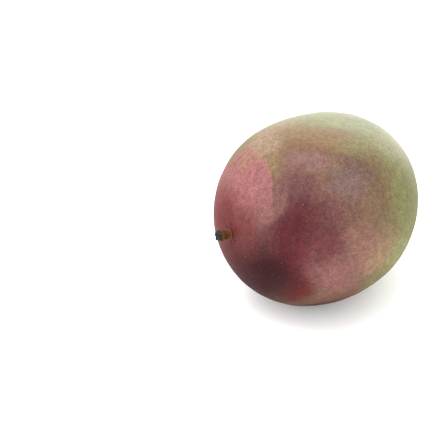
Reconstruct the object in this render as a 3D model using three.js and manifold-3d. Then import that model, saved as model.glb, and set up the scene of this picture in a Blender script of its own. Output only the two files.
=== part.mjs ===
// A whole ripe mango, lying on its cheek on a small flat spot, with the short woody stub of its
// stem. Lengths are in millimetres, angles in degrees, +Z is up. The origin is in the flat spot,
// -X points to the stem end and +X to the apex.

import * as THREE from "three";
import { mergeVertices } from "three/addons/utils/BufferGeometryUtils.js";
import Module from "manifold-3d";

const wasm = await Module();
wasm.setup();

// The fruit: an ovoid, a little broader at the stem end.
const LENGTH = 114;
const WIDTH = 96;
const THICKNESS = 90;
const TAPER = 0.055; // how much the girth shrinks from the middle to the apex
const SIDE_FULLNESS = -0.08; // how far the sides swell past an ellipse between middle and ends
const CHEEK_FULLNESS = 0.3; // the same for the two cheeks, above and below
const BOXINESS = 0.02; // how far the girth swells between side and cheek
const BACK_BEND = -0.8; // how far the middle is bent sideways from the ends

// How the fruit lies: the apex nods down a little, and its weight is over the flat spot.
const NOD = 2;
const CENTRE_HEIGHT = 44;
const FOOT_X = -3;
const FOOT_Y = -1.6;

// The stem end, off the tip of the long axis.
const STEM_OFF = 15;
const STEM_TURN = 4;
const STEM_LEAN = 4; // how much further off the tip the stub points than it stands

// Rounded rises and hollows of the surface: where each is (degrees off a tip, turned from +Y
// towards +Z, and which tip: 1 the apex, -1 the stem end), its height, and its width in degrees.
const RISES = {
  stemHollow: { off: STEM_OFF, turn: STEM_TURN, tip: -1, height: -2.2, width: 11 },
  stemCollar: { off: STEM_OFF, turn: STEM_TURN, tip: -1, height: 0.9, width: 4 },
  shoulder: { off: 42, turn: 178, tip: -1, height: 1.6, width: 26 },
  beak: { off: 17, turn: 8, tip: 1, height: 1.5, width: 10 },
  sinus: { off: 42, turn: 6, tip: 1, height: -1.2, width: 18 },
};

// Slow unevenness of the whole surface.
const WAVE_HEIGHT = 0.35;

// The stub of the stem, from its root in the fruit to its broken end.
const ROOT_DEPTH = 3;
const ROOT_RADIUS = 1.9;
const SOCKET_GAP = 0.3; // clear space between the root and its socket
const NECK_RADIUS = 2;
const RING_HEIGHT = 2.4;
const RING_RADIUS = 2.35;
const GROOVE_HEIGHT = 2.9;
const GROOVE_RADIUS = 2.1;
const KNOB_HEIGHT = 5.8;
const KNOB_RADIUS = 2.75;
const STUB_HEIGHT = 7.2;
const END_RADIUS = 2.2;
const END_DISH = 0.6; // how far the broken end is hollowed
const STUB_LOBES = 5;
const LOBE_DEPTH = 0.05; // share of the radius
const STUB_SWAY = 0.5; // how far the stub's tip is bent aside

// Facets.
const FRUIT_SIDES = 56;
const FRUIT_RINGS = 46;
const RING_CROWDING = 1.35; // above 1 the rings lie closer together near the stem
const STUB_SIDES = 20;
const SOCKET_SIDES = 20;

const radians = THREE.MathUtils.degToRad;

/** The unit direction `off` degrees from a tip of the long axis, turned from +Y towards +Z. */
function direction(off, turn, tip) {
  const away = Math.sin(radians(off));
  return new THREE.Vector3(
    tip * Math.cos(radians(off)),
    away * Math.cos(radians(turn)),
    away * Math.sin(radians(turn)),
  );
}

/** The slow unevenness in a unit direction. */
function wave(way) {
  const along = Math.sin(2.1 * way.x + 3.3 * way.y + 1.1);
  const across = Math.cos(2.7 * way.z - 1.9 * way.y + 0.4);
  return WAVE_HEIGHT * along * across;
}

/** The point of the fruit's surface in a unit direction from its centre, in the fruit's frame. */
function surfacePoint(way) {
  const t = way.x;
  const swell = t * t * (1 - t * t);
  const girth = (1 - TAPER * t) * (1 + 4 * BOXINESS * way.y * way.y * way.z * way.z);
  const point = new THREE.Vector3(
    (LENGTH / 2) * t,
    (WIDTH / 2) * way.y * girth * (1 + SIDE_FULLNESS * swell) + BACK_BEND * (1 - t * t),
    (THICKNESS / 2) * way.z * girth * (1 + CHEEK_FULLNESS * swell),
  );
  let lift = wave(way);
  for (const { off, turn, tip, height, width } of Object.values(RISES)) {
    const apart = THREE.MathUtils.radToDeg(way.angleTo(direction(off, turn, tip)));
    lift += height * Math.exp(-((apart / width) ** 2));
  }
  return point.addScaledVector(point.clone().normalize(), lift);
}

/** The matrix that lays the fruit down: its nod, then its place over the flat spot. */
function restMatrix() {
  const nod = new THREE.Matrix4().makeRotationY(radians(NOD));
  return nod.setPosition(-FOOT_X, -FOOT_Y, CENTRE_HEIGHT);
}

/** A closed geometry as a solid. */
function solidOf(geometry) {
  const bare = geometry.clone();
  bare.deleteAttribute("normal");
  bare.deleteAttribute("uv");
  const merged = mergeVertices(bare);
  const vertProperties = new Float32Array(merged.attributes.position.array);
  const triVerts = new Uint32Array(merged.index.array);
  return new wasm.Manifold(new wasm.Mesh({ numProp: 3, vertProperties, triVerts }));
}

/** A solid as a geometry with flat shading. */
function geometryOf(solid) {
  const { numProp, vertProperties, triVerts } = solid.getMesh();
  const positions = [];
  for (const i of triVerts) {
    positions.push(...vertProperties.subarray(i * numProp, i * numProp + 3));
  }
  const geometry = new THREE.BufferGeometry();
  geometry.setAttribute("position", new THREE.Float32BufferAttribute(positions, 3));
  geometry.computeVertexNormals();
  return geometry;
}

/** The whole fruit as a ball of rings round the stem, with the rings drawn in towards it. */
function fruitBall() {
  const ball = new THREE.SphereGeometry(1, FRUIT_SIDES, FRUIT_RINGS);
  ball.deleteAttribute("normal");
  ball.deleteAttribute("uv");
  const merged = mergeVertices(ball);
  const position = merged.attributes.position;
  const pole = new THREE.Vector3(0, 1, 0);
  const toStem = new THREE.Quaternion().setFromUnitVectors(
    pole,
    direction(STEM_OFF, STEM_TURN, -1),
  );
  const lay = restMatrix();
  const way = new THREE.Vector3();
  for (let i = 0; i < position.count; i++) {
    way.fromBufferAttribute(position, i);
    const fromPole = way.angleTo(pole);
    const drawnIn = Math.PI * (fromPole / Math.PI) ** RING_CROWDING;
    const round = Math.atan2(way.z, way.x);
    way.set(
      Math.sin(drawnIn) * Math.cos(round),
      Math.cos(drawnIn),
      Math.sin(drawnIn) * Math.sin(round),
    );
    const point = surfacePoint(way.applyQuaternion(toStem)).applyMatrix4(lay);
    position.setXYZ(i, point.x, point.y, point.z);
  }
  return merged;
}

/** Where the stub stands on the skin, and which way it points, in the part's frame. */
function stemPlace() {
  const lay = restMatrix();
  const base = surfacePoint(direction(STEM_OFF, STEM_TURN, -1)).applyMatrix4(lay);
  const axis = direction(STEM_OFF + STEM_LEAN, STEM_TURN, -1).transformDirection(lay);
  const turned = new THREE.Quaternion().setFromUnitVectors(new THREE.Vector3(0, 0, 1), axis);
  return { base, turned };
}

/** The fruit with its flat spot cut and a socket for the root of the stem. */
function fruit(place) {
  const ground = new THREE.BoxGeometry(2 * LENGTH, 2 * LENGTH, LENGTH);
  ground.translate(0, 0, -LENGTH / 2);

  const radius = ROOT_RADIUS + SOCKET_GAP;
  const depth = ROOT_DEPTH + SOCKET_GAP;
  const mouth = 4; // how far the cutter stands out of the skin
  const socket = new THREE.CylinderGeometry(radius, radius, depth + mouth, SOCKET_SIDES);
  socket.rotateX(Math.PI / 2);
  socket.translate(0, 0, (mouth - depth) / 2);
  socket.applyQuaternion(place.turned);
  socket.translate(place.base.x, place.base.y, place.base.z);

  const cut = solidOf(fruitBall()).subtract(solidOf(ground)).subtract(solidOf(socket));
  const skin = new THREE.MeshStandardMaterial({ color: 0x94605a, roughness: 0.5, metalness: 0 });
  const mesh = new THREE.Mesh(geometryOf(cut), skin);
  mesh.name = "fruit";
  return mesh;
}

/** The stub: a turned profile, then lobed and bent a little as wood is. */
function stem(place) {
  const profile = [
    [0, -ROOT_DEPTH],
    [ROOT_RADIUS * 0.9, -ROOT_DEPTH],
    [ROOT_RADIUS, -ROOT_DEPTH * 0.85],
    [ROOT_RADIUS, 0.2],
    [NECK_RADIUS, 1.1],
    [RING_RADIUS, RING_HEIGHT - 0.4],
    [RING_RADIUS, RING_HEIGHT],
    [GROOVE_RADIUS, GROOVE_HEIGHT],
    [(GROOVE_RADIUS + KNOB_RADIUS) / 2, (GROOVE_HEIGHT + KNOB_HEIGHT) / 2],
    [KNOB_RADIUS, KNOB_HEIGHT],
    [END_RADIUS, STUB_HEIGHT],
    [END_RADIUS * 0.5, STUB_HEIGHT - END_DISH],
    [0, STUB_HEIGHT - END_DISH],
  ].map(([radius, height]) => new THREE.Vector2(radius, height));
  const turnedProfile = new THREE.LatheGeometry(profile, STUB_SIDES);
  turnedProfile.deleteAttribute("normal");
  turnedProfile.deleteAttribute("uv");
  const geometry = mergeVertices(turnedProfile.rotateX(Math.PI / 2), 1e-3);
  const position = geometry.attributes.position;
  const point = new THREE.Vector3();
  for (let i = 0; i < position.count; i++) {
    point.fromBufferAttribute(position, i);
    const above = Math.max(point.z, 0) / STUB_HEIGHT;
    const round = Math.atan2(point.y, point.x);
    const lobed = 1 + LOBE_DEPTH * above * Math.cos(STUB_LOBES * round);
    position.setXYZ(i, point.x * lobed + STUB_SWAY * above ** 2, point.y * lobed, point.z);
  }
  const wood = new THREE.MeshStandardMaterial({ color: 0x4a2a18, roughness: 0.85, metalness: 0 });
  const mesh = new THREE.Mesh(geometry, wood);
  mesh.name = "stem";
  const holder = new THREE.Group();
  holder.position.copy(place.base);
  holder.quaternion.copy(place.turned);
  holder.add(mesh);
  return holder;
}

const place = stemPlace();
const mango = new THREE.Group();
mango.add(fruit(place), stem(place));

export default mango;
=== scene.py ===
"""A whole ripe mango with the stub of its stem, lying on its cheek on a pale studio table.

The classes hold their sizes in millimetres and degrees, and Blender's own lengths are metres. The origin
is in the flat spot that the fruit rests on, -X points to the stem end, +X to the apex, and +Z is up.
"""

import logging
import math
from collections.abc import Sequence
from dataclasses import dataclass
from enum import Enum

import bpy
from mathutils import Matrix, Vector, noise


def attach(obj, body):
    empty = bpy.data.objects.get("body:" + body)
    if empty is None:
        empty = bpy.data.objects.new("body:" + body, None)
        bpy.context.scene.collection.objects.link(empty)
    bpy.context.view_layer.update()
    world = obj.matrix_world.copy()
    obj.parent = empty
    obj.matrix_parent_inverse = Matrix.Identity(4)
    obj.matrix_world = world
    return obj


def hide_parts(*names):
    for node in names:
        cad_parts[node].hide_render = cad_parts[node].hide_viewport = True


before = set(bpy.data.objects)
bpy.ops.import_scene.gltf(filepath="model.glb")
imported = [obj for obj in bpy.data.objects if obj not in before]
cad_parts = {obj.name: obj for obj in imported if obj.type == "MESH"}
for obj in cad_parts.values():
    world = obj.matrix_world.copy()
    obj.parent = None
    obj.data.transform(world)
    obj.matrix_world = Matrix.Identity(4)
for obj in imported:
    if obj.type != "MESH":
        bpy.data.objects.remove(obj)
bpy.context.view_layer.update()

LOG = logging.getLogger("mango")
MM = 0.001  # metres in a millimetre
BODY = "root"

# Numbers of the sockets whose names repeat on one node.
MIX_A, MIX_B, MIX_RESULT = 6, 7, 2
RANDOM_LEAST, RANDOM_MOST, RANDOM_VALUE = 2, 3, 1

NEAR = -45  # the middle of the sunny skin on the away axis, in millimetres
DEEP = 45  # how far a patch there reaches along that axis

Given = float | int | bool | str | Sequence[float] | bpy.types.ID | bpy.types.NodeSocket


class Slot(Enum):
    """The record's material slots."""

    SKIN = "mango_skin"
    WOOD = "stem_wood"


class Tip(Enum):
    """The ends of the long axis, by the sign of X."""

    STEM = -1
    APEX = 1


def linear(colour: str) -> tuple[float, float, float, float]:
    """Turns a colour from sRGB hex to the linear values that a socket holds.

    Args:
        colour: the colour as "#rrggbb".

    Returns:
        Red, green, blue and an alpha of 1.
    """
    parts = [int(colour[i : i + 2], 16) / 255 for i in (1, 3, 5)]
    red, green, blue = (p / 12.92 if p <= 0.04045 else ((p + 0.055) / 1.055) ** 2.4 for p in parts)
    return red, green, blue, 1.0


def per_metre(cell: float) -> float:
    """Gives the scale of a pattern from the size of its cell in millimetres."""
    return 1 / (cell * MM)


def add(
    tree: bpy.types.NodeTree,
    kind: str,
    inputs: dict[str | int, Given] | None = None,
    out: str | int = 0,
    **settings: Given,
) -> bpy.types.NodeSocket:
    """Adds a node to a tree, with its settings, values and links.

    Args:
        tree: the tree that gets the node.
        kind: the node's type, such as "ShaderNodeMix".
        inputs: by the input's name or number, a value or the output that feeds it.
        out: the name or number of the output that the caller goes on with.
        settings: properties of the node, such as operation="ADD".

    Returns:
        The output named by out.
    """
    node = tree.nodes.new(kind)
    for name, value in settings.items():
        setattr(node, name, value)
    for key, value in (inputs or {}).items():
        if isinstance(value, bpy.types.NodeSocket):
            tree.links.new(value, node.inputs[key])
        else:
            node.inputs[key].default_value = value
    return node.outputs[out] if node.outputs else node.inputs[0]


def direction(off: float, turn: float, tip: Tip) -> Vector:
    """Gives the unit direction some way off a tip of the long axis.

    Args:
        off: degrees off the tip.
        turn: degrees turned from +Y towards +Z.
        tip: the tip that it is measured from.

    Returns:
        The direction in the fruit's own frame.
    """
    away, round_axis = math.radians(off), math.radians(turn)
    along = tip.value * math.cos(away)
    return Vector((along, math.sin(away) * math.cos(round_axis), math.sin(away) * math.sin(round_axis)))


@dataclass
class Step:
    """One Geometry Nodes tree and the values of its named inputs."""

    tree: bpy.types.GeometryNodeTree
    values: dict[str, Given]


def geometry_tree(name: str, inputs: dict[str, str]) -> bpy.types.GeometryNodeTree:
    """Starts a Geometry Nodes tree that takes a geometry and named inputs, and gives a geometry.

    Args:
        name: the tree's name.
        inputs: the kind of each named input, such as "Float" or "Material".

    Returns:
        The tree, with no nodes yet.
    """
    tree = bpy.data.node_groups.new(name, "GeometryNodeTree")
    tree.interface.new_socket("Geometry", in_out="INPUT", socket_type="NodeSocketGeometry")
    tree.interface.new_socket("Geometry", in_out="OUTPUT", socket_type="NodeSocketGeometry")
    for label, kind in inputs.items():
        tree.interface.new_socket(label, in_out="INPUT", socket_type="NodeSocket" + kind)
    return tree


def grown(name: str, steps: list[Step], start: bpy.types.Mesh | None = None) -> bpy.types.Object:
    """Runs trees one after the other and keeps what they make as a plain mesh.

    Args:
        name: the name of the object and of its mesh.
        steps: the trees, in order, with their values.
        start: the mesh that the first tree is given, or None for an empty one.

    Returns:
        The object, at the origin, with no modifier left.
    """
    piece = bpy.data.objects.new(name, start or bpy.data.meshes.new(name))
    bpy.context.scene.collection.objects.link(piece)
    for step in steps:
        modifier = piece.modifiers.new(step.tree.name, "NODES")
        modifier.node_group = step.tree
        for item in step.tree.interface.items_tree:
            if item.in_out == "INPUT" and item.name in step.values:
                modifier[item.identifier] = step.values[item.name]
    evaluated = piece.evaluated_get(bpy.context.evaluated_depsgraph_get())
    made = bpy.data.meshes.new_from_object(evaluated)
    piece.modifiers.clear()
    piece.data = made
    made.name = name
    return piece


def new_material(name: str) -> tuple[bpy.types.Material, bpy.types.NodeTree]:
    """Makes a material with an empty node tree.

    Args:
        name: the material's name.

    Returns:
        The material and its tree.
    """
    material = bpy.data.materials.new(name)
    material.use_nodes = True
    material.node_tree.nodes.clear()
    return material, material.node_tree


def mixed(
    tree: bpy.types.NodeTree, share: Given, under: Given, over: Given, blend: str = "MIX"
) -> bpy.types.NodeSocket:
    """Lays one colour over another.

    Args:
        tree: the material's tree.
        share: how much of the upper colour shows, from 0 to 1.
        under: the lower colour.
        over: the upper colour.
        blend: how the two are blended.

    Returns:
        The blended colour.
    """
    given = {0: share, MIX_A: under, MIX_B: over}
    return add(tree, "ShaderNodeMix", given, MIX_RESULT, data_type="RGBA", blend_type=blend)


def ranged(
    tree: bpy.types.NodeTree, value: Given, start: tuple[float, float], end: tuple[float, float]
) -> bpy.types.NodeSocket:
    """Turns one range of values smoothly into another.

    Args:
        tree: the material's tree.
        value: the value that is turned.
        start: the two ends of the range that it has.
        end: what those two ends become.

    Returns:
        The new value, held between the new ends.
    """
    given = {"Value": value, "From Min": start[0], "From Max": start[1], "To Min": end[0], "To Max": end[1]}
    return add(tree, "ShaderNodeMapRange", given, interpolation_type="SMOOTHSTEP")


@dataclass(frozen=True)
class SunAxes:
    """Axes for placing colours on the skin: across, away and up from the side that the sun reddened.

    The axes are fixed in the fruit. The away axis points into it, so the sunny skin has negative values.
    """

    azimuth: float = -49.9  # degrees
    elevation: float = 30  # degrees
    centre: tuple[float, float, float] = (3.0, 1.6, 44.0)  # millimetres

    def turn(self) -> Matrix:
        """Gives the turn from the part's axes to these."""
        back = Matrix.Rotation(math.radians(self.elevation), 3, "X")
        return back @ Matrix.Rotation(math.radians(-self.azimuth), 3, "Z")

    def add_to(self, tree: bpy.types.NodeTree) -> bpy.types.NodeSocket:
        """Adds the nodes that give a point's place on these axes, in millimetres."""
        point = add(tree, "ShaderNodeTexCoord", out="Object")
        offset = Vector(self.centre) * MM
        from_centre = add(tree, "ShaderNodeVectorMath", {0: point, 1: offset}, operation="SUBTRACT")
        settings = {"Vector": from_centre, "Rotation": self.turn().to_euler(), "Scale": (per_metre(1),) * 3}
        return add(tree, "ShaderNodeMapping", settings)


@dataclass(frozen=True)
class Jitter:
    """Shifts a place by noise, so that what is drawn there gets an uneven edge."""

    cell: float  # millimetres
    shift: float  # millimetres, about the most that a place is moved
    detail: float = 2

    def add_to(self, tree: bpy.types.NodeTree, place: bpy.types.NodeSocket) -> bpy.types.NodeSocket:
        """Adds the nodes that shift the place."""
        settings = {"Vector": place, "Scale": 1 / self.cell, "Detail": self.detail}
        cloud = add(tree, "ShaderNodeTexNoise", settings, "Color")
        centred = add(tree, "ShaderNodeVectorMath", {0: cloud, 1: (0.5,) * 3}, operation="SUBTRACT")
        span = (4 * self.shift,) * 3  # the noise seldom leaves the middle half of its range
        moved = {0: centred, 1: span, 2: place}
        return add(tree, "ShaderNodeVectorMath", moved, operation="MULTIPLY_ADD")


@dataclass(frozen=True)
class Patch:
    """A soft-edged patch of colour, an ellipsoid that dyes the skin inside it."""

    colour: str
    centre: tuple[float, float, float]  # millimetres on the sun axes
    reach: tuple[float, float, float]  # millimetres from the centre to the edge, along each axis
    tilt: float = 0  # degrees that its right end is turned down
    softness: float = 0.7  # share of the reach in which it fades
    strength: float = 1

    def mask(self, tree: bpy.types.NodeTree, place: bpy.types.NodeSocket) -> bpy.types.NodeSocket:
        """Adds the nodes that tell how far a place is in the patch.

        Args:
            tree: the material's tree.
            place: the place on the sun axes.

        Returns:
            The patch's strength well inside it, falling to 0 at its edge.
        """
        lean = (0, math.radians(self.tilt), 0)
        fitted = {"Vector": place, "Location": self.centre, "Rotation": lean, "Scale": self.reach}
        local = add(tree, "ShaderNodeMapping", fitted, vector_type="TEXTURE")
        off = add(tree, "ShaderNodeVectorMath", {0: local}, "Value", operation="LENGTH")
        return ranged(tree, off, (1 - self.softness, 1), (self.strength, 0))

    def add_to(
        self, tree: bpy.types.NodeTree, place: bpy.types.NodeSocket, under: bpy.types.NodeSocket
    ) -> bpy.types.NodeSocket:
        """Lays the patch over the colour under it."""
        return mixed(tree, self.mask(tree, place), under, linear(self.colour))


@dataclass(frozen=True)
class Edge:
    """One straight side of the shade that a leaf left on the skin."""

    angle: float  # degrees of the way out of the shade, from across towards up
    offset: float  # millimetres from the middle of the axes
    softness: float  # millimetres

    def mask(self, tree: bpy.types.NodeTree, place: bpy.types.NodeSocket) -> bpy.types.NodeSocket:
        """Adds the nodes that give 1 inside this side and 0 outside it."""
        turn = math.radians(self.angle)
        outward = {0: place, 1: (math.cos(turn), 0, math.sin(turn))}
        off = add(tree, "ShaderNodeVectorMath", outward, "Value", operation="DOT_PRODUCT")
        return ranged(tree, off, (self.offset - self.softness, self.offset + self.softness), (1, 0))


@dataclass(frozen=True)
class LeafShade:
    """A patch laid over the soft ones, with crisp sides where a leaf lay on the growing fruit; one without
    sides is partly painted shadow.
    """

    patch: Patch
    edges: tuple[Edge, ...]

    def add_to(
        self,
        tree: bpy.types.NodeTree,
        place: bpy.types.NodeSocket,
        crisp: bpy.types.NodeSocket,
        under: bpy.types.NodeSocket,
    ) -> bpy.types.NodeSocket:
        """Lays the shade over the colour under it.

        Args:
            tree: the material's tree.
            place: the shifted place, for the soft patch.
            crisp: the place that the sides are measured at.
            under: the colour before this shade.

        Returns:
            The colour with this shade.
        """
        share = self.patch.mask(tree, place)
        for edge in self.edges:
            share = add(tree, "ShaderNodeMath", {0: share, 1: edge.mask(tree, crisp)}, operation="MULTIPLY")
        return mixed(tree, share, under, linear(self.patch.colour))


@dataclass(frozen=True)
class SkinColours:
    """The colours of the skin, from the green of the shaded side through brown and pink to maroon."""

    axes: SunAxes = SunAxes()
    slow: Jitter = Jitter(16, 2.2)
    middle: Jitter = Jitter(5, 1.1, 3)
    fine: Jitter = Jitter(1.1, 1.3, 3)
    crisp: Jitter = Jitter(4, 0.28, 4)
    ground: str = "#6d6b44"
    patches: tuple[Patch, ...] = (
        # The shaded side: gold where the fruit ripens first, a greener flank, a paler cheek above.
        Patch("#8a7a3c", (2, 44, -14), (40, 34, 26), 20, 0.95, 0.6),
        Patch("#7a6c40", (-24, 34, 14), (26, 30, 26), 0, 0.95, 0.8),
        Patch("#64693f", (34, 24, 8), (26, 34, 30), 0, 0.95, 0.7),
        Patch("#767856", (34, -10, -28), (20, 38, 22), 0, 0.9, 0.8),
        Patch("#787a5c", (14, -10, 38), (30, 34, 12), 14, 0.8, 0.8),
        Patch("#7e7a5c", (33, -18, 27), (15, 28, 11), 38, 0.95, 0.7),
        # The sunny side, from its brown rim inwards.
        Patch("#6a5141", (-14, -22, -16), (57, 77, 63), 0, 0.34, 1),
        Patch("#7a7257", (-22, -14, 37), (20, 30, 8), -30, 0.9, 0.9),
        Patch("#846f5c", (-28, -26, 29), (22, 40, 11), -38, 0.8, 0.9),
        Patch("#735a41", (-4, -34, 33), (27, 40, 9), 6, 0.8, 0.85),
        Patch("#6b4d3c", (-5, -43, 26), (18, 32, 5), 4, 0.9, 0.8),
        Patch("#66553a", (25, -36, 19), (15, 44, 9), 42, 0.9, 0.9),
        Patch("#69533f", (27, -34, 3), (8, 40, 17), 0, 0.9, 0.8),
        Patch("#886e54", (28, -34, -24), (14, 60, 20), 30, 0.8, 0.9),
        Patch("#7a7a50", (37, -14, -23), (9, 34, 20), 24, 0.8, 0.9),
        Patch("#5c4538", (16, NEAR, 16), (20, DEEP, 8), 38, 0.8, 0.9),
        Patch("#745553", (-6, NEAR, 19.5), (18, DEEP, 6.5), 0, 0.9, 0.9),
        Patch("#5e2a2a", (-34, -20, -24), (32, 60, 34), 20, 0.8, 1),
        Patch("#633f3e", (-12, -42, -12), (37, 62, 33), 20, 0.6, 0.95),
        Patch("#6b5554", (11, NEAR, 9), (14, DEEP, 12), 10, 0.9, 0.9),
        Patch("#5c3a3b", (-12, NEAR, 8), (14, DEEP, 10), 10, 0.7, 0.9),
        Patch("#502b2c", (-7, NEAR, -2), (16, DEEP, 9), 10, 0.9, 0.8),
        Patch("#552d2e", (-3, NEAR, -12), (13, DEEP, 12), -20, 0.8, 0.8),
        Patch("#4a1b20", (-15, NEAR, -11), (15, DEEP, 21), 12, 0.8, 0.95),
        Patch("#551d24", (-16, -34, -28), (18, 44, 20), 0, 0.8, 0.9),
        Patch("#7e5a50", (17, -40, -19), (12, 60, 17), 10, 0.8, 0.9),
        Patch("#7a504f", (5, -40, -33), (20, 45, 12), -14, 0.85, 0.9),
        Patch("#4f1a1f", (-12, -36, -38), (12, 45, 11), 0, 0.9, 0.85),
        Patch("#603035", (0, NEAR, -20), (13, DEEP, 9), -10, 0.9, 0.8),
        Patch("#663a2e", (10, -22, -46), (24, 34, 8), -8, 0.8, 0.7),
        Patch("#521412", (-12, -28, -43), (12, 34, 8), -8, 0.9, 0.85),
        # Painted contact shadow: the underside next to the table is darkened to brown-black.
        Patch("#2c150e", (2, -8, -51), (38, 28, 8), -8, 0.8, 0.95),
        Patch("#696540", (26, -16, -38), (15, 30, 7), -36, 0.9, 0.9),
        Patch("#7b4546", (-48, -14, 10), (14, 34, 17), 0, 0.9, 0.9),
        # These three darken the lower left to deep maroon: partly the skin's own colour, partly painted
        # shadow of a neighbouring fruit that is not built.
        Patch("#42141a", (-38, -20, -32), (26, 50, 25), 10, 0.9, 0.85),
        Patch("#30060c", (-31, -30, -36), (24, 56, 31), 5, 0.9, 0.95),
        Patch("#220104", (-25, -40, -35), (17, 46, 25), 5, 1, 0.7),
    )
    shades: tuple[LeafShade, ...] = (
        LeafShade(Patch("#745f42", (-24.5, NEAR, 19), (6, DEEP, 9), 30, 0.9, 0.8), ()),
        LeafShade(
            Patch("#684744", (-22, NEAR, 0), (10, DEEP, 14), 0, 0.8, 0.95),
            (Edge(0, -17.3, 0.8), Edge(-41, -12.5, 1.6)),
        ),
        LeafShade(
            Patch("#78524b", (-30, NEAR, -7), (10, DEEP, 8), 0, 0.7, 0.9), (Edge(-41, -12.5, 2.0),)
        ),
        LeafShade(
            Patch("#835455", (-34, -34, 10), (24, 52, 21), 0, 0.6, 1),
            (Edge(0, -24.8, 0.3), Edge(18, -19.9, 0.4), Edge(40, -8.8, 0.6)),
        ),
        LeafShade(Patch("#84604f", (-36, -30, 20), (12, 36, 5), -38, 0.9, 0.8), ()),
        # A crimson wedge along the lower left rim, with no crisp sides: the skin's own red, darkened partly
        # as painted shadow of a neighbouring fruit.
        LeafShade(Patch("#5e2527", (-46, -26, -6), (29, 50, 20), 38, 0.9, 0.95), ()),
    )

    def add_to(self, tree: bpy.types.NodeTree) -> bpy.types.NodeSocket:
        """Adds the nodes that give the skin's colour, before its fine mottling."""
        place = self.axes.add_to(tree)
        crisp = self.crisp.add_to(tree, place)
        drifted = self.middle.add_to(tree, self.slow.add_to(tree, place))
        soft = self.fine.add_to(tree, drifted)
        colour = linear(self.ground)
        for patch in self.patches:
            colour = patch.add_to(tree, soft, colour)
        for shade in self.shades:
            colour = shade.add_to(tree, soft, crisp, colour)
        return colour


@dataclass
class Camera:
    """The studio camera, at the height and side from which the fruit shows its blush."""

    azimuth: float = -49.9  # degrees
    elevation: float = 30  # degrees
    lens: float = 100  # millimetres
    sensor: float = 36  # millimetres
    sight: float = 20  # metres, the furthest that it sees
    picture: float = 447  # pixels, both ways
    scale: float = 1.999  # pixels in a millimetre at the fruit
    aim: tuple[float, float, float] = (3.2, 0.7, 44.2)  # the point of the fruit, in millimetres
    aim_pixel: tuple[float, float] = (319.7, 205.3)  # that shows at this pixel

    def build(self) -> None:
        """Makes the camera and gives it to the scene."""
        data = bpy.data.cameras.new("studio_camera")
        data.lens = self.lens
        data.sensor_width = self.sensor
        data.clip_end = self.sight
        camera = bpy.data.objects.new("studio_camera", data)
        bpy.context.scene.collection.objects.link(camera)
        turn, rise = math.radians(self.azimuth), math.radians(self.elevation)
        level = math.cos(rise)
        back = Vector((math.sin(turn) * level, -math.cos(turn) * level, math.sin(rise)))
        right = Vector((math.cos(turn), math.sin(turn), 0))
        up = back.cross(right)
        focal = self.picture * self.lens / self.sensor
        distance = focal / self.scale
        aside = (self.aim_pixel[0] - self.picture / 2) / self.scale
        below = (self.aim_pixel[1] - self.picture / 2) / self.scale
        place = Vector(self.aim) + back * distance - right * aside + up * below
        turned = Matrix((right, up, back)).transposed().to_4x4()
        camera.matrix_world = Matrix.Translation(place * MM) @ turned
        bpy.context.scene.camera = camera


@dataclass(frozen=True)
class Cork:
    """A ring of brown cork on the skin, round the stem or where the style of the flower was."""

    place: tuple[float, float, float]  # metres
    inner: float  # millimetres
    outer: float  # millimetres
    colour: str
    fray_cell: float = 1.1  # millimetres

    def add_to(self, tree: bpy.types.NodeTree, under: bpy.types.NodeSocket) -> bpy.types.NodeSocket:
        """Lays the cork over the colour under it."""
        point = add(tree, "ShaderNodeTexCoord", out="Object")
        off = add(tree, "ShaderNodeVectorMath", {0: point, 1: self.place}, "Value", operation="DISTANCE")
        cells = {"Vector": point, "Scale": per_metre(self.fray_cell), "Detail": 3}
        rough = add(tree, "ShaderNodeTexNoise", cells)
        uneven = {0: rough, 1: (self.outer - self.inner) * MM, 2: off}
        ragged = add(tree, "ShaderNodeMath", uneven, operation="MULTIPLY_ADD")
        share = ranged(tree, ragged, (self.inner * MM, self.outer * MM), (1, 0))
        return mixed(tree, share, under, linear(self.colour))


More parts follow.
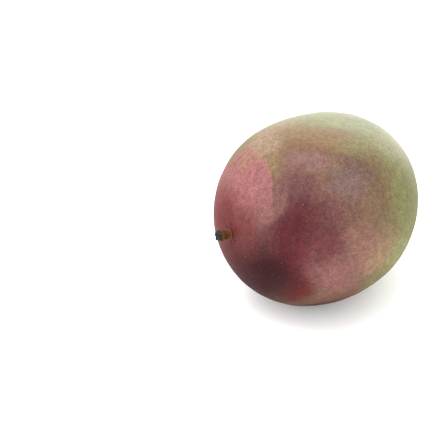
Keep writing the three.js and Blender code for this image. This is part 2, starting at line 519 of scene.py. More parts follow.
@dataclass(frozen=True)
class MangoSkin:
    """Mango skin: a thin waxy cuticle over coloured cells, so its gloss is soft and its colours mottle.

    The cells of its patterns are in millimetres.
    """

    colours: SkinColours = SkinColours()
    corks: tuple[Cork, ...] = ()
    roughness: tuple[float, float] = (0.56, 0.7)  # least and most
    gloss: float = 0.1
    grain_cell: float = 0.77
    grain_shade: tuple[float, float] = (0.82, 1.24)  # darkest and lightest
    blotch_cell: float = 2.5
    blotch_shade: tuple[float, float] = (0.86, 1.18)
    film_cell: float = 1.67
    warm_film: str = "#fff5f4"
    cool_film: str = "#f6fffe"
    peel_cell: float = 1.43
    peel_depth: float = 0.05  # millimetres
    bloom: Patch = Patch("#dfe0d8", (14, -4, 36), (58, 60, 36), 12, 0.8, 0.75)
    dried_cork: str = "#cbb192"
    dried_cell: float = 1.67
    dried_share: tuple[float, float] = (0.02, 0.24)  # of its colour, on a young and an old lenticel

    def lenticel_material(self) -> bpy.types.Material:
        """Makes the material of the lenticels: dry cork, paler and duller than the skin round it."""
        material, tree = new_material("mango_lenticel_cork")
        point = add(tree, "ShaderNodeTexCoord", out="Object")
        # Age: most lenticels have nearly the skin's colour, and a few have dried pale.
        cells = {"Vector": point, "Scale": per_metre(self.dried_cell), "Detail": 0}
        age = add(tree, "ShaderNodeTexNoise", cells)
        dried = ranged(tree, age, (0.5, 0.75), self.dried_share)
        colour = mixed(tree, dried, self.colours.add_to(tree), linear(self.dried_cork))
        surface = add(tree, "ShaderNodeBsdfPrincipled", {"Base Color": colour, "Roughness": 0.7})
        add(tree, "ShaderNodeOutputMaterial", {"Surface": surface})
        return material

    def material(self) -> bpy.types.Material:
        """Makes the material."""
        material, tree = new_material("mango_skin")
        point = add(tree, "ShaderNodeTexCoord", out="Object")
        base = self.colours.add_to(tree)
        usual = (0.3, 0.7)  # where a noise mostly stays
        # Grain: the cells of the skin give the eye a fine speckle, darker and lighter by a fifth.
        cells = {"Vector": point, "Scale": per_metre(self.grain_cell), "Detail": 2}
        grain = add(tree, "ShaderNodeTexNoise", cells)
        cells = {"Vector": point, "Scale": per_metre(self.blotch_cell), "Detail": 4}
        blotch = add(tree, "ShaderNodeTexNoise", cells)
        fine = ranged(tree, grain, usual, self.grain_shade)
        coarse = ranged(tree, blotch, usual, self.blotch_shade)
        both = add(tree, "ShaderNodeMath", {0: fine, 1: coarse}, operation="MULTIPLY")
        mottled = mixed(tree, 1, base, both, "MULTIPLY")
        # Films: the red and the green of the skin's layers show through in turn, in small clouds.
        cells = {"Vector": point, "Scale": per_metre(self.film_cell), "Detail": 3}
        cloud = add(tree, "ShaderNodeTexNoise", cells)
        layer = ranged(tree, cloud, (0.35, 0.65), (0, 1))
        film = mixed(tree, layer, linear(self.warm_film), linear(self.cool_film))
        colour = mixed(tree, 1, mottled, film, "MULTIPLY")
        for cork in self.corks:
            colour = cork.add_to(tree, colour)
        dull = ranged(tree, blotch, usual, self.roughness)
        # Peel: shallow dimples break up the gloss, as on an orange but finer.
        cells = {"Vector": point, "Scale": per_metre(self.peel_cell), "Detail": 2}
        peel = add(tree, "ShaderNodeTexNoise", cells)
        bump = {"Strength": 0.35, "Distance": self.peel_depth * MM, "Height": peel}
        normal = add(tree, "ShaderNodeBump", bump)
        # Bloom: a dust of wax on the cheek above, which pales the skin where it is seen aslant.
        dusted = self.bloom.mask(tree, self.colours.axes.add_to(tree))
        settings = {
            "Base Color": colour,
            "Sheen Weight": dusted,
            "Sheen Roughness": 0.4,
            "Sheen Tint": linear(self.bloom.colour),
            "Roughness": dull,
            "Specular IOR Level": self.gloss,
            "Normal": normal,
        }
        surface = add(tree, "ShaderNodeBsdfPrincipled", settings)
        add(tree, "ShaderNodeOutputMaterial", {"Surface": surface})
        return material


@dataclass(frozen=True)
class Rise:
    """A rounded rise of the skin, or a hollow if its height is below 0."""

    off: float  # degrees off the tip
    turn: float  # degrees turned from +Y towards +Z
    tip: Tip
    height: float  # millimetres
    width: float  # degrees


@dataclass
class Fruit:
    """The fruit: an ovoid, a little broader at the stem end, with a few rounded rises and hollows.

    Its lengths are in millimetres and its angles in degrees.
    """

    length: float = 114
    width: float = 96
    thickness: float = 90
    taper: float = 0.055
    side_fullness: float = -0.08
    cheek_fullness: float = 0.3
    boxiness: float = 0.02
    back_bend: float = -0.8
    nod: float = 2
    foot: tuple[float, float, float] = (3.0, 1.6, 44.0)
    stem_off: float = 15
    stem_turn: float = 4
    stem_lean: float = 4
    wave_height: float = 0.35
    wave_along: tuple[float, float, float] = (2.1, 3.3, 0)  # radians for each unit of the direction
    wave_along_start: float = 1.1
    wave_across: tuple[float, float, float] = (0, -1.9, 2.7)
    wave_across_start: float = 0.4
    hollow: Rise = Rise(15, 4, Tip.STEM, -2.2, 11)
    collar: Rise = Rise(15, 4, Tip.STEM, 0.9, 4)
    shoulder: Rise = Rise(42, 178, Tip.STEM, 1.6, 26)
    beak: Rise = Rise(17, 8, Tip.APEX, 1.5, 10)
    sinus: Rise = Rise(42, 6, Tip.APEX, -1.2, 18)
    facets: int = 120  # along each side of the cube that is blown up to the fruit

    def ball(self) -> Step:
        """Makes the step that blows a cube up to a ball of even facets."""
        tree = geometry_tree("ball", {"Facets": "Int"})
        given = add(tree, "NodeGroupInput").node.outputs
        corners = add(tree, "ShaderNodeMath", {0: given["Facets"], 1: 1}, operation="ADD")
        counts = {f"Vertices {axis}": corners for axis in "XYZ"}
        cube = add(tree, "GeometryNodeMeshCube", {"Size": (2, 2, 2), **counts})
        place = add(tree, "GeometryNodeInputPosition")
        angle = add(tree, "ShaderNodeVectorMath", {0: place, 1: (math.pi / 4,) * 3}, operation="MULTIPLY")
        spread = add(tree, "ShaderNodeVectorMath", {0: angle}, operation="TANGENT")
        way = add(tree, "ShaderNodeVectorMath", {0: spread}, operation="NORMALIZE")
        moved = add(tree, "GeometryNodeSetPosition", {"Geometry": cube, "Position": way})
        add(tree, "NodeGroupOutput", {"Geometry": moved})
        return Step(tree, {"Facets": self.facets})

    def form(self, skin: bpy.types.Material | None = None) -> Step:
        """Makes the step that moves the points of a ball out to the skin.

        Args:
            skin: the material that the skin gets.

        Returns:
            The step, whose lengths are in metres.
        """
        values = {
            "Length": self.length * MM,
            "Width": self.width * MM,
            "Thickness": self.thickness * MM,
            "Taper": self.taper,
            "Side fullness": self.side_fullness,
            "Cheek fullness": self.cheek_fullness,
            "Boxiness": self.boxiness,
            "Back bend": self.back_bend * MM,
            "Wave height": self.wave_height * MM,
            "Nod": math.radians(self.nod),
        }
        kinds = {**dict.fromkeys(values, "Float"), "Foot": "Vector", "Skin": "Material"}
        tree = geometry_tree("fruit form", kinds)
        given = add(tree, "NodeGroupInput").node.outputs
        way = add(tree, "GeometryNodeInputPosition")
        x, y, z = add(tree, "ShaderNodeSeparateXYZ", {0: way}).node.outputs

        square = add(tree, "ShaderNodeMath", {0: x, 1: x}, operation="MULTIPLY")
        rest = add(tree, "ShaderNodeMath", {0: 1, 1: square}, operation="SUBTRACT")
        bulge = add(tree, "ShaderNodeMath", {0: square, 1: rest}, operation="MULTIPLY")
        fuller_side = {0: bulge, 1: given["Side fullness"], 2: 1}
        side = add(tree, "ShaderNodeMath", fuller_side, operation="MULTIPLY_ADD")
        fuller_cheek = {0: bulge, 1: given["Cheek fullness"], 2: 1}
        cheek = add(tree, "ShaderNodeMath", fuller_cheek, operation="MULTIPLY_ADD")
        thinned = add(tree, "ShaderNodeMath", {0: x, 1: given["Taper"]}, operation="MULTIPLY")
        narrow = add(tree, "ShaderNodeMath", {0: 1, 1: thinned}, operation="SUBTRACT")
        between = add(tree, "ShaderNodeMath", {0: y, 1: z}, operation="MULTIPLY")
        corner = add(tree, "ShaderNodeMath", {0: between, 1: between}, operation="MULTIPLY")
        four_times = add(tree, "ShaderNodeMath", {0: corner, 1: 4}, operation="MULTIPLY")
        squarer = {0: four_times, 1: given["Boxiness"], 2: 1}
        boxed = add(tree, "ShaderNodeMath", squarer, operation="MULTIPLY_ADD")
        girth = add(tree, "ShaderNodeMath", {0: narrow, 1: boxed}, operation="MULTIPLY")
        girth_y = add(tree, "ShaderNodeMath", {0: girth, 1: side}, operation="MULTIPLY")
        girth_z = add(tree, "ShaderNodeMath", {0: girth, 1: cheek}, operation="MULTIPLY")
        round_y = add(tree, "ShaderNodeMath", {0: y, 1: girth_y}, operation="MULTIPLY")
        round_z = add(tree, "ShaderNodeMath", {0: z, 1: girth_z}, operation="MULTIPLY")
        sides = {0: given["Length"], 1: given["Width"], 2: given["Thickness"]}
        whole = add(tree, "ShaderNodeCombineXYZ", sides)
        half = add(tree, "ShaderNodeVectorMath", {0: whole, "Scale": 0.5}, operation="SCALE")
        shares = add(tree, "ShaderNodeCombineXYZ", {0: x, 1: round_y, 2: round_z})
        aside = add(tree, "ShaderNodeMath", {0: given["Back bend"], 1: rest}, operation="MULTIPLY")
        bend = add(tree, "ShaderNodeCombineXYZ", {1: aside})
        plain = add(tree, "ShaderNodeVectorMath", {0: half, 1: shares, 2: bend}, operation="MULTIPLY_ADD")

        pair = {0: way, 1: self.wave_along}
        along = add(tree, "ShaderNodeVectorMath", pair, "Value", operation="DOT_PRODUCT")
        along_turn = add(tree, "ShaderNodeMath", {0: along, 1: self.wave_along_start}, operation="ADD")
        along_swing = add(tree, "ShaderNodeMath", {0: along_turn}, operation="SINE")
        pair = {0: way, 1: self.wave_across}
        across = add(tree, "ShaderNodeVectorMath", pair, "Value", operation="DOT_PRODUCT")
        across_turn = add(tree, "ShaderNodeMath", {0: across, 1: self.wave_across_start}, operation="ADD")
        across_swing = add(tree, "ShaderNodeMath", {0: across_turn}, operation="COSINE")
        both = add(tree, "ShaderNodeMath", {0: along_swing, 1: across_swing}, operation="MULTIPLY")
        lift = add(tree, "ShaderNodeMath", {0: both, 1: given["Wave height"]}, operation="MULTIPLY")
        for rise in (self.hollow, self.collar, self.shoulder, self.beak, self.sinus):
            lift = self.raised(tree, way, rise, lift)

        out = add(tree, "ShaderNodeVectorMath", {0: plain}, operation="NORMALIZE")
        lifted = add(tree, "ShaderNodeVectorMath", {0: out, 1: lift, 2: plain}, operation="MULTIPLY_ADD")
        nodding = {0: lifted, "Angle": given["Nod"]}
        laid = add(tree, "ShaderNodeVectorRotate", nodding, rotation_type="Y_AXIS")
        placed = add(tree, "ShaderNodeVectorMath", {0: laid, 1: given["Foot"]}, operation="ADD")
        endless = (-1, -1, 0)  # only the height is held, at the table
        rested = add(tree, "ShaderNodeVectorMath", {0: placed, 1: endless}, operation="MAXIMUM")
        moved = add(tree, "GeometryNodeSetPosition", {"Geometry": given["Geometry"], "Position": rested})
        smooth = add(tree, "GeometryNodeSetShadeSmooth", {"Geometry": moved})
        whole_mesh = add(tree, "GeometryNodeRealizeInstances", {"Geometry": smooth})
        dressed = add(tree, "GeometryNodeSetMaterial", {"Geometry": whole_mesh, "Material": given["Skin"]})
        add(tree, "NodeGroupOutput", {"Geometry": dressed})
        return Step(tree, {**values, "Foot": Vector(self.foot) * MM, "Skin": skin})

    @staticmethod
    def raised(
        tree: bpy.types.NodeTree, way: bpy.types.NodeSocket, rise: Rise, lift: bpy.types.NodeSocket
    ) -> bpy.types.NodeSocket:
        """Adds one rise or hollow to how far the skin is lifted.

        Args:
            tree: the form's tree.
            way: the unit direction of the point.
            rise: the rise or hollow.
            lift: the lift before it.

        Returns:
            The lift with it.
        """
        to_rise = direction(rise.off, rise.turn, rise.tip)
        same = add(tree, "ShaderNodeVectorMath", {0: way, 1: to_rise}, "Value", operation="DOT_PRODUCT")
        apart = add(tree, "ShaderNodeMath", {0: same}, operation="ARCCOSINE")
        share = add(tree, "ShaderNodeMath", {0: apart, 1: math.radians(rise.width)}, operation="DIVIDE")
        square = add(tree, "ShaderNodeMath", {0: share, 1: share}, operation="MULTIPLY")
        fall = add(tree, "ShaderNodeMath", {0: square, 1: -1}, operation="MULTIPLY")
        bell = add(tree, "ShaderNodeMath", {0: fall}, operation="EXPONENT")
        scaled = {0: bell, 1: rise.height * MM, 2: lift}
        return add(tree, "ShaderNodeMath", scaled, operation="MULTIPLY_ADD")

    def seat(self, way: Vector) -> Vector:
        """Gives the point of the skin in a unit direction, by the rule that makes the whole skin."""
        probe = bpy.data.meshes.new("probe")
        probe.from_pydata([way], [], [])
        piece = grown("probe", [self.form()], probe)
        point = piece.data.vertices[0].co.copy()
        bpy.data.objects.remove(piece)
        return point

    def stem_place(self) -> Matrix:
        """Gives the frame of the stem: its base on the skin, with Z along the stem. Lengths are metres."""
        base = self.seat(direction(self.stem_off, self.stem_turn, Tip.STEM))
        nod = Matrix.Rotation(math.radians(self.nod), 3, "Y")
        axis = nod @ direction(self.stem_off + self.stem_lean, self.stem_turn, Tip.STEM)
        return Matrix.Translation(base) @ Vector((0, 0, 1)).rotation_difference(axis).to_matrix().to_4x4()

    def beak_point(self) -> Vector:
        """Gives the point of the beak, in metres."""
        return self.seat(direction(self.beak.off, self.beak.turn, self.beak.tip))

    def build(self, relief: "Relief", skin: bpy.types.Material) -> bpy.types.Object:
        """Makes the fruit's skin.

        Args:
            relief: the small unevenness of the skin.
            skin: the material that it gets.

        Returns:
            The fruit, which stands for the CAD fruit.
        """
        fruit = grown("mango_fruit", [self.ball(), self.form(skin), relief.step(skin)])
        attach(fruit, BODY)
        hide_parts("fruit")
        return fruit


@dataclass
class Relief:
    """The small unevenness of the skin: slow dents, the peel's grain, and folds drawn in round the stem.

    Its lengths are in millimetres.
    """

    stem: Matrix
    dent_cell: float = 15
    dent_height: float = 0.3
    peel_cell: float = 2.6
    peel_height: float = 0.05
    folds: int = 7
    fold_height: float = 0.22
    fold_reach: float = 6.5
    calm_height: float = 4  # how far above the table the relief is whole
    seed: float = 4

    def step(self, skin: bpy.types.Material) -> Step:
        """Makes the step that moves the skin in and out along its normal.

        Args:
            skin: the material that the skin keeps.

        Returns:
            The step, whose lengths are in metres.
        """
        values = {
            "Dent cell": self.dent_cell * MM,
            "Dent height": self.dent_height * MM,
            "Peel cell": self.peel_cell * MM,
            "Peel height": self.peel_height * MM,
            "Folds": float(self.folds),
            "Fold height": self.fold_height * MM,
            "Fold reach": self.fold_reach * MM,
            "Calm height": self.calm_height * MM,
            "Seed": self.seed,
        }
        tree = geometry_tree("skin relief", {**dict.fromkeys(values, "Float"), "Skin": "Material"})
        given = add(tree, "NodeGroupInput").node.outputs
        place = add(tree, "GeometryNodeInputPosition")
        dents = self.noise(tree, place, given["Dent cell"], given["Dent height"], given["Seed"])
        peel = self.noise(tree, place, given["Peel cell"], given["Peel height"], given["Seed"])
        both = add(tree, "ShaderNodeMath", {0: dents, 1: peel}, operation="ADD")

        side, fore = (Vector(self.stem.col[i][:3]) for i in range(2))
        from_stem = {0: place, 1: self.stem.translation}
        arm = add(tree, "ShaderNodeVectorMath", from_stem, operation="SUBTRACT")
        right = add(tree, "ShaderNodeVectorMath", {0: arm, 1: side}, "Value", operation="DOT_PRODUCT")
        front = add(tree, "ShaderNodeVectorMath", {0: arm, 1: fore}, "Value", operation="DOT_PRODUCT")
        turn = add(tree, "ShaderNodeMath", {0: front, 1: right}, operation="ARCTAN2")
        many = add(tree, "ShaderNodeMath", {0: turn, 1: given["Folds"]}, operation="MULTIPLY")
        fold = add(tree, "ShaderNodeMath", {0: many}, operation="COSINE")
        reach = add(tree, "ShaderNodeVectorMath", {0: arm}, "Value", operation="LENGTH")
        share = add(tree, "ShaderNodeMath", {0: reach, 1: given["Fold reach"]}, operation="DIVIDE")
        square = add(tree, "ShaderNodeMath", {0: share, 1: share}, operation="MULTIPLY")
        fall = add(tree, "ShaderNodeMath", {0: 1, 1: square}, operation="SUBTRACT")
        faded = add(tree, "ShaderNodeMath", {0: square, 1: fall}, operation="MULTIPLY")
        bounded = add(tree, "ShaderNodeMath", {0: faded, 1: 0}, operation="MAXIMUM")
        four_times = add(tree, "ShaderNodeMath", {0: bounded, 1: 4}, operation="MULTIPLY")
        height = add(tree, "ShaderNodeMath", {0: four_times, 1: given["Fold height"]}, operation="MULTIPLY")
        lift = add(tree, "ShaderNodeMath", {0: fold, 1: height, 2: both}, operation="MULTIPLY_ADD")

        level = add(tree, "ShaderNodeSeparateXYZ", {0: place}, "Z")
        held = {"Value": level, "From Min": 0, "From Max": given["Calm height"]}
        free = add(tree, "ShaderNodeMapRange", held, interpolation_type="SMOOTHSTEP")
        kept = add(tree, "ShaderNodeMath", {0: lift, 1: free}, operation="MULTIPLY")
        normal = add(tree, "GeometryNodeInputNormal")
        offset = add(tree, "ShaderNodeVectorMath", {0: normal, "Scale": kept}, operation="SCALE")
        moved = add(tree, "GeometryNodeSetPosition", {"Geometry": given["Geometry"], "Offset": offset})
        whole_mesh = add(tree, "GeometryNodeRealizeInstances", {"Geometry": moved})
        dressed = add(tree, "GeometryNodeSetMaterial", {"Geometry": whole_mesh, "Material": given["Skin"]})
        add(tree, "NodeGroupOutput", {"Geometry": dressed})
        return Step(tree, {**values, "Skin": skin})

    @staticmethod
    def noise(
        tree: bpy.types.NodeTree,
        place: bpy.types.NodeSocket,
        cell: bpy.types.NodeSocket,
        height: bpy.types.NodeSocket,
        seed: bpy.types.NodeSocket,
    ) -> bpy.types.NodeSocket:
        """Adds the nodes that give an even noise about 0.

        Args:
            tree: the relief's tree.
            place: the place on the skin.
            cell: the size of the noise.
            height: about the most that it gives.
            seed: which noise it is.

        Returns:
            The noise.
        """
        scale = add(tree, "ShaderNodeMath", {0: 1, 1: cell}, operation="DIVIDE")
        settings = {"Vector": place, "W": seed, "Scale": scale, "Detail": 1}
        cloud = add(tree, "ShaderNodeTexNoise", settings, noise_dimensions="4D")
        centred = add(tree, "ShaderNodeMath", {0: cloud, 1: 0.5}, operation="SUBTRACT")
        doubled = add(tree, "ShaderNodeMath", {0: centred, 1: 2}, operation="MULTIPLY")
        return add(tree, "ShaderNodeMath", {0: doubled, 1: height}, operation="MULTIPLY")


@dataclass
class Lenticels:
    """The pores of the skin: low pale lenses of cork, strewn over it, more of them small than large.

    Their lengths are in millimetres.
    """

    stem: Vector  # metres
    spacing: float = 1.3
    density: float = 0.2  # per square millimetre, before those that stand too close are left out
    radius: tuple[float, float] = (0.08, 0.32)  # least and most
    rarity: float = 2.5  # the higher, the fewer are large
    flatness: float = 0.3  # height as a share of the radius
    clear_of_stem: float = 4.5
    clear_of_table: float = 1.5
    seed: int = 7

    def step(self, cork: bpy.types.Material) -> Step:
        """Makes the step that turns a skin into its lenticels.

        Args:
            cork: the material that they get.

        Returns:
            The step, whose lengths are in metres.
        """
        kinds = {
            "Spacing": "Float",
            "Density": "Float",
            "Least radius": "Float",
            "Most radius": "Float",
            "Rarity": "Float",
            "Flatness": "Float",
            "Stem": "Vector",
            "Clear of stem": "Float",
            "Clear of table": "Float",
            "Seed": "Int",
            "Cork": "Material",
        }
        tree = geometry_tree("lenticels", kinds)
        given = add(tree, "NodeGroupInput").node.outputs
        place = add(tree, "GeometryNodeInputPosition")
        off = add(tree, "ShaderNodeVectorMath", {0: place, 1: given["Stem"]}, "Value", operation="DISTANCE")
        reaches = {0: off, 1: given["Clear of stem"]}
        past_stem = add(tree, "ShaderNodeMath", reaches, operation="GREATER_THAN")
        level = add(tree, "ShaderNodeSeparateXYZ", {0: place}, "Z")
        heights = {0: level, 1: given["Clear of table"]}
        past_table = add(tree, "ShaderNodeMath", heights, operation="GREATER_THAN")
        both = add(tree, "ShaderNodeMath", {0: past_stem, 1: past_table}, operation="MULTIPLY")
        spread = {
            "Mesh": given["Geometry"],
            "Selection": both,
            "Distance Min": given["Spacing"],
            "Density Max": given["Density"],
            "Seed": given["Seed"],
        }
        points = add(tree, "GeometryNodeDistributePointsOnFaces", spread, distribute_method="POISSON")
        lens = add(tree, "GeometryNodeMeshIcoSphere", {"Radius": 1, "Subdivisions": 1})
        chance = {RANDOM_LEAST: 0, RANDOM_MOST: 1, "Seed": given["Seed"]}
        drawn = add(tree, "FunctionNodeRandomValue", chance, RANDOM_VALUE, data_type="FLOAT")
        rare = add(tree, "ShaderNodeMath", {0: drawn, 1: given["Rarity"]}, operation="POWER")
        ends = {0: given["Most radius"], 1: given["Least radius"]}
        span = add(tree, "ShaderNodeMath", ends, operation="SUBTRACT")
        wider = {0: rare, 1: span, 2: given["Least radius"]}
        radius = add(tree, "ShaderNodeMath", wider, operation="MULTIPLY_ADD")
        thin = add(tree, "ShaderNodeMath", {0: radius, 1: given["Flatness"]}, operation="MULTIPLY")
        scale = add(tree, "ShaderNodeCombineXYZ", {0: radius, 1: radius, 2: thin})
        each = {
            "Points": points,
            "Instance": lens,
            "Rotation": points.node.outputs["Rotation"],
            "Scale": scale,
        }
        placed = add(tree, "GeometryNodeInstanceOnPoints", each)
        whole_mesh = add(tree, "GeometryNodeRealizeInstances", {"Geometry": placed})
        smooth = add(tree, "GeometryNodeSetShadeSmooth", {"Geometry": whole_mesh})
        dressed = add(tree, "GeometryNodeSetMaterial", {"Geometry": smooth, "Material": given["Cork"]})
        add(tree, "NodeGroupOutput", {"Geometry": dressed})
        values = {
            "Spacing": self.spacing * MM,
            "Density": self.density / MM**2,
            "Least radius": self.radius[0] * MM,
            "Most radius": self.radius[1] * MM,
            "Rarity": self.rarity,
            "Flatness": self.flatness,
            "Stem": self.stem,
            "Clear of stem": self.clear_of_stem * MM,
            "Clear of table": self.clear_of_table * MM,
            "Seed": self.seed,
            "Cork": cork,
        }
        return Step(tree, values)

    def build(self, fruit: bpy.types.Object, cork: bpy.types.Material) -> bpy.types.Object:
        """Makes the lenticels of a fruit.

        Args:
            fruit: the fruit that they sit on.
            cork: the material that they get.

        Returns:
            All of them as one piece.
        """
        lenticels = grown("skin_lenticels", [self.step(cork)], fruit.data)
        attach(lenticels, BODY)
        return lenticels


@dataclass(frozen=True)
class StemWood:
    """Stalk wood: fibrous dark brown bark, nearly black in its groove and where dried sap covers the break.

    Its heights and cells are in millimetres.
    """

    stem: Matrix  # metres
    bark: str = "#6f401c"
    bark_dark: str = "#40220f"
    groove: str = "#180c07"
    sap: str = "#0a0706"
    heart: str = "#2c190f"
    groove_height: float = 2.9
    groove_band: tuple[float, float] = (0.15, 0.5)  # how far off the groove its dark band is whole, and gone
    sap_height: float = 5.9
    sap_edge: float = 0.4
    fray_cell: float = 0.77
    fibre_width: float = 0.28
    fibre_length: float = 1.67
    fibre_depth: float = 0.15
    gloss: float = 0.22

    def material(self) -> bpy.types.Material:
        """Makes the material, which is laid along the stem's own axis in millimetres."""
        material, tree = new_material("stem_wood")
        point = add(tree, "ShaderNodeTexCoord", out="Object")
        turn = self.stem.to_euler()
        fitted = {"Vector": point, "Location": self.stem.translation, "Rotation": turn, "Scale": (MM,) * 3}
        place = add(tree, "ShaderNodeMapping", fitted, vector_type="TEXTURE")
        height = add(tree, "ShaderNodeSeparateXYZ", {0: place}, "Z")
        # Fibres: streaks along the stem, which the eye reads as bark.
        thinned = (1 / self.fibre_width, 1 / self.fibre_width, 1 / self.fibre_length)
        along = add(tree, "ShaderNodeMapping", {"Vector": place, "Scale": thinned})
        fibres = add(tree, "ShaderNodeTexNoise", {"Vector": along, "Scale": 1, "Detail": 4})
        streak = ranged(tree, fibres, (0.3, 0.7), (0, 1))
        bark = mixed(tree, streak, linear(self.bark_dark), linear(self.bark))
        cells = {"Vector": place, "Scale": 1 / self.fray_cell, "Detail": 3}
        rough = add(tree, "ShaderNodeTexNoise", cells)
        uneven = add(tree, "ShaderNodeMath", {0: rough, 1: height}, operation="ADD")
        from_groove = add(tree, "ShaderNodeMath", {0: height, 1: self.groove_height}, operation="SUBTRACT")
        off_groove = add(tree, "ShaderNodeMath", {0: from_groove}, operation="ABSOLUTE")
        in_groove = ranged(tree, off_groove, self.groove_band, (0.9, 0))
        grooved = mixed(tree, in_groove, bark, linear(self.groove))
        in_sap = ranged(tree, uneven, (self.sap_height, self.sap_height + self.sap_edge), (0, 1))
        # Broken end: the dried sap leaves some of the brown wood bare.
        bare = ranged(tree, fibres, (0.48, 0.64), (0, 0.8))
        end = mixed(tree, bare, linear(self.sap), linear(self.heart))
        colour = mixed(tree, in_sap, grooved, end)
        dull = ranged(tree, in_sap, (0, 1), (0.75, 0.45))
        ridges = {"Strength": 0.6, "Distance": self.fibre_depth * MM, "Height": fibres}
        normal = add(tree, "ShaderNodeBump", ridges)
        settings = {
            "Base Color": colour,
            "Roughness": dull,
            "Specular IOR Level": self.gloss,
            "Normal": normal,
        }
        surface = add(tree, "ShaderNodeBsdfPrincipled", settings)
        add(tree, "ShaderNodeOutputMaterial", {"Surface": surface})
        return material


@dataclass
class Stem:
    """The woody stub of the fruit stalk: a neck, a ring, a groove, a knob and a rough broken end.

    Its lengths are in millimetres, and neck to root are each a height and a radius.
    """

    place: Matrix  # metres
    neck: tuple[float, float] = (1.0, 2.0)
    ring: tuple[float, float] = (2.3, 2.38)
    groove: tuple[float, float] = (2.9, 2.08)
    knob: tuple[float, float] = (5.6, 2.75)
    end: tuple[float, float] = (7.1, 2.25)
    root: tuple[float, float] = (-2.9, 1.8)
    flare: tuple[float, float] = (0.2, 0.5)  # height, and how far it reaches up and down
    flare_width: float = 0.7
    lobes: int = 5
    lobe_depth: float = 0.05  # share of the radius
    sway: float = 0.5
    fibre_depth: float = 0.1
    fibre_pace: tuple[float, float] = (5, 0.35)  # noise cells in a radian round it, and in a millimetre
    grain_pace: tuple[float, float] = (9, 2.2)
    ragged_pace: float = 2
    ragged_slice: float = 7  # the height in the noise that the torn rim is read at
    dish: float = 0.8
    lump_height: float = 0.5
    lump_pace: tuple[float, float] = (1.1, 2.6)  # coarse and fine noise cells in a millimetre
    lump_slice: float = 3
    sides: int = 96
    rings: int = 72
    end_rings: int = 16

    def radius(self, height: float) -> float:
        """Gives the even radius at a height, in millimetres."""
        marks = (self.root, self.neck, self.ring, self.groove, self.knob, self.end)
        for low, high in zip(marks, marks[1:]):
            if height <= high[0]:
                share = (height - low[0]) / (high[0] - low[0])
                eased = share * share * (3 - 2 * share)
                off_flare = (height - self.flare[0]) / self.flare[1]
                widened = self.flare_width * math.exp(-(off_flare**2))
                return low[1] + (high[1] - low[1]) * eased + widened
        return self.end[1]

    def side_point(self, height: float, turn: float) -> Vector:
        """Gives a point of the bark.

        Args:
            height: millimetres above the skin.
            turn: radians round the stem.

        Returns:
            The point on the stem's own axes, in millimetres.
        """
        above = max(height, 0) / self.end[0]
        lobed = 1 + self.lobe_depth * above * math.cos(self.lobes * turn)
        way = Vector((math.cos(turn), math.sin(turn), 0))
        up = Vector((0, 0, height))
        fibre = noise.noise(way * self.fibre_pace[0] + up * self.fibre_pace[1])
        grain = noise.noise(way * self.grain_pace[0] + up * self.grain_pace[1])
        radius = self.radius(height) * lobed + self.fibre_depth * (fibre + 0.5 * grain)
        torn = noise.noise(way * self.ragged_pace + Vector((0, 0, self.ragged_slice)))
        ragged = Vector((self.sway * above**2, 0, above**6 * self.lump_height * torn))
        return way * radius + up + ragged

    def end_point(self, share: float, turn: float) -> Vector:
        """Gives a point of the broken end.

        Args:
            share: how far it is from the rim to the middle, from 0 to 1.
            turn: radians round the stem.

        Returns:
            The point on the stem's own axes, in millimetres.
        """
        rim = self.side_point(self.end[0], turn)
        middle = Vector((self.sway, 0, self.end[0]))
        point = rim.lerp(middle, share)
        coarse, fine = self.lump_pace
        flat = Vector((point.x * coarse, point.y * coarse, self.lump_slice))
        lump = noise.noise(flat) + 0.5 * noise.noise(point * fine)
        point.z += share * (self.lump_height * lump) - self.dish * share * (2 - share)
        return point

    def build(self, wood: bpy.types.Material) -> bpy.types.Object:
        """Makes the stub.

        Args:
            wood: the material that it gets.

        Returns:
            The stub, which stands for the CAD stem.
        """
        turns = [2 * math.pi * i / self.sides for i in range(self.sides)]
        span = self.end[0] - self.root[0]
        points = [Vector((0, 0, self.root[0]))]
        for i in range(self.rings + 1):
            height = self.root[0] + span * i / self.rings
            points += [self.side_point(height, turn) for turn in turns]
        for i in range(1, self.end_rings):
            points += [self.end_point(i / self.end_rings, turn) for turn in turns]
        points.append(self.end_point(1, 0))
        last, top = len(points) - 1, self.rings + self.end_rings - 1
        faces = []
        for i in range(self.sides):
            after = (i + 1) % self.sides
            faces.append((0, 1 + after, 1 + i))
            faces.append((last, 1 + top * self.sides + i, 1 + top * self.sides + after))
            for ring in range(top):
                low = 1 + ring * self.sides
                high = low + self.sides
                faces.append((low + i, low + after, high + after, high + i))
        mesh = bpy.data.meshes.new("stem_stub")
        mesh.from_pydata([self.place @ (point * MM) for point in points], [], faces)
        mesh.materials.append(wood)
        mesh.shade_smooth()
        stub = bpy.data.objects.new("stem_stub", mesh)
        bpy.context.scene.collection.objects.link(stub)
        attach(stub, BODY)
        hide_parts("stem")
        return stub


@dataclass(frozen=True)
class Softbox:
    """A square soft light that faces the fruit."""

    name: str
    place: tuple[float, float, float]  # metres
    side: float  # metres
    watts: float


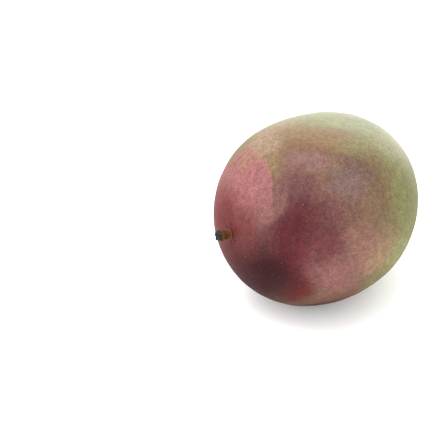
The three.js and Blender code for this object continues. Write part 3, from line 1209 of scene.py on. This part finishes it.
@dataclass
class Studio:
    """The pale table and the soft light."""

    table_side: float = 6  # metres
    opal: str = "#f4f4f4"
    white: str = "#ffffff"
    table_glow: float = 0.16
    room_light: float = 1.4
    target: tuple[float, float, float] = (0, 0, 0.04)  # metres, where the softboxes point
    softboxes: tuple[Softbox, ...] = (
        Softbox("top_softbox", (-0.1, 0.5, 1.5), 1.6, 24),
        Softbox("left_softbox", (-1.3, 0.35, 0.75), 1.0, 4),
        Softbox("right_softbox", (1.2, 0.3, 0.6), 1.0, 4),
    )

    def build(self) -> None:
        """Makes the table, the lights and the surrounding white."""
        self.table()
        self.lights()
        self.surroundings()

    def table(self) -> None:
        """Makes the table top."""
        half = self.table_side / 2
        mesh = bpy.data.meshes.new("table")
        corners = [(-half, -half, 0), (half, -half, 0), (half, half, 0), (-half, half, 0)]
        mesh.from_pydata(corners, [], [(0, 1, 2, 3)])
        table = bpy.data.objects.new("table", mesh)
        bpy.context.scene.collection.objects.link(table)
        # Opal acrylic, lit from below: a matt white top that glows a little, so its shadows stay pale.
        opal, tree = new_material("opal_acrylic")
        lit = {"Emission Color": linear(self.white), "Emission Strength": self.table_glow}
        settings = {"Base Color": linear(self.opal), "Roughness": 0.8, **lit}
        surface = add(tree, "ShaderNodeBsdfPrincipled", settings)
        add(tree, "ShaderNodeOutputMaterial", {"Surface": surface})
        mesh.materials.append(opal)

    def lights(self) -> None:
        """Makes the softboxes."""
        for softbox in self.softboxes:
            data = bpy.data.lights.new(softbox.name, "AREA")
            data.shape = "SQUARE"
            data.size = softbox.side
            data.energy = softbox.watts
            light = bpy.data.objects.new(softbox.name, data)
            light.location = softbox.place
            back = Vector(softbox.place) - Vector(self.target)
            light.rotation_euler = back.to_track_quat("Z", "Y").to_euler()
            bpy.context.scene.collection.objects.link(light)

    def surroundings(self) -> None:
        """Makes the white room round the table."""
        world = bpy.data.worlds.new("white_room")
        world.use_nodes = True
        tree = world.node_tree
        tree.nodes.clear()
        lit = {"Color": linear(self.white), "Strength": self.room_light}
        background = add(tree, "ShaderNodeBackground", lit)
        add(tree, "ShaderNodeOutputWorld", {"Surface": background})
        bpy.context.scene.world = world
        bpy.context.scene.view_settings.view_transform = "Standard"


def report(piece: bpy.types.Object) -> None:
    """Logs a piece's name and its number of faces."""
    LOG.info("%s: %d faces", piece.name, len(piece.data.polygons))


def main() -> None:
    """Builds the mango and its studio."""
    logging.basicConfig(level=logging.INFO, format="%(name)s: %(message)s")
    Camera().build()
    Studio().build()
    fruit = Fruit()
    stem = fruit.stem_place()
    root, beak = tuple(stem.translation), tuple(fruit.beak_point())
    stem_cork = Cork(root, inner=2.8, outer=4.6, colour="#5b3a1e")
    beak_cork = Cork(beak, inner=0.6, outer=1.6, colour="#4a3020")
    skin = MangoSkin(corks=(stem_cork, beak_cork))
    flesh = fruit.build(Relief(stem), skin.material())
    report(flesh)
    report(Lenticels(stem.translation).build(flesh, skin.lenticel_material()))
    report(Stem(stem).build(StemWood(stem).material()))


if __name__ == "__main__":
    main()
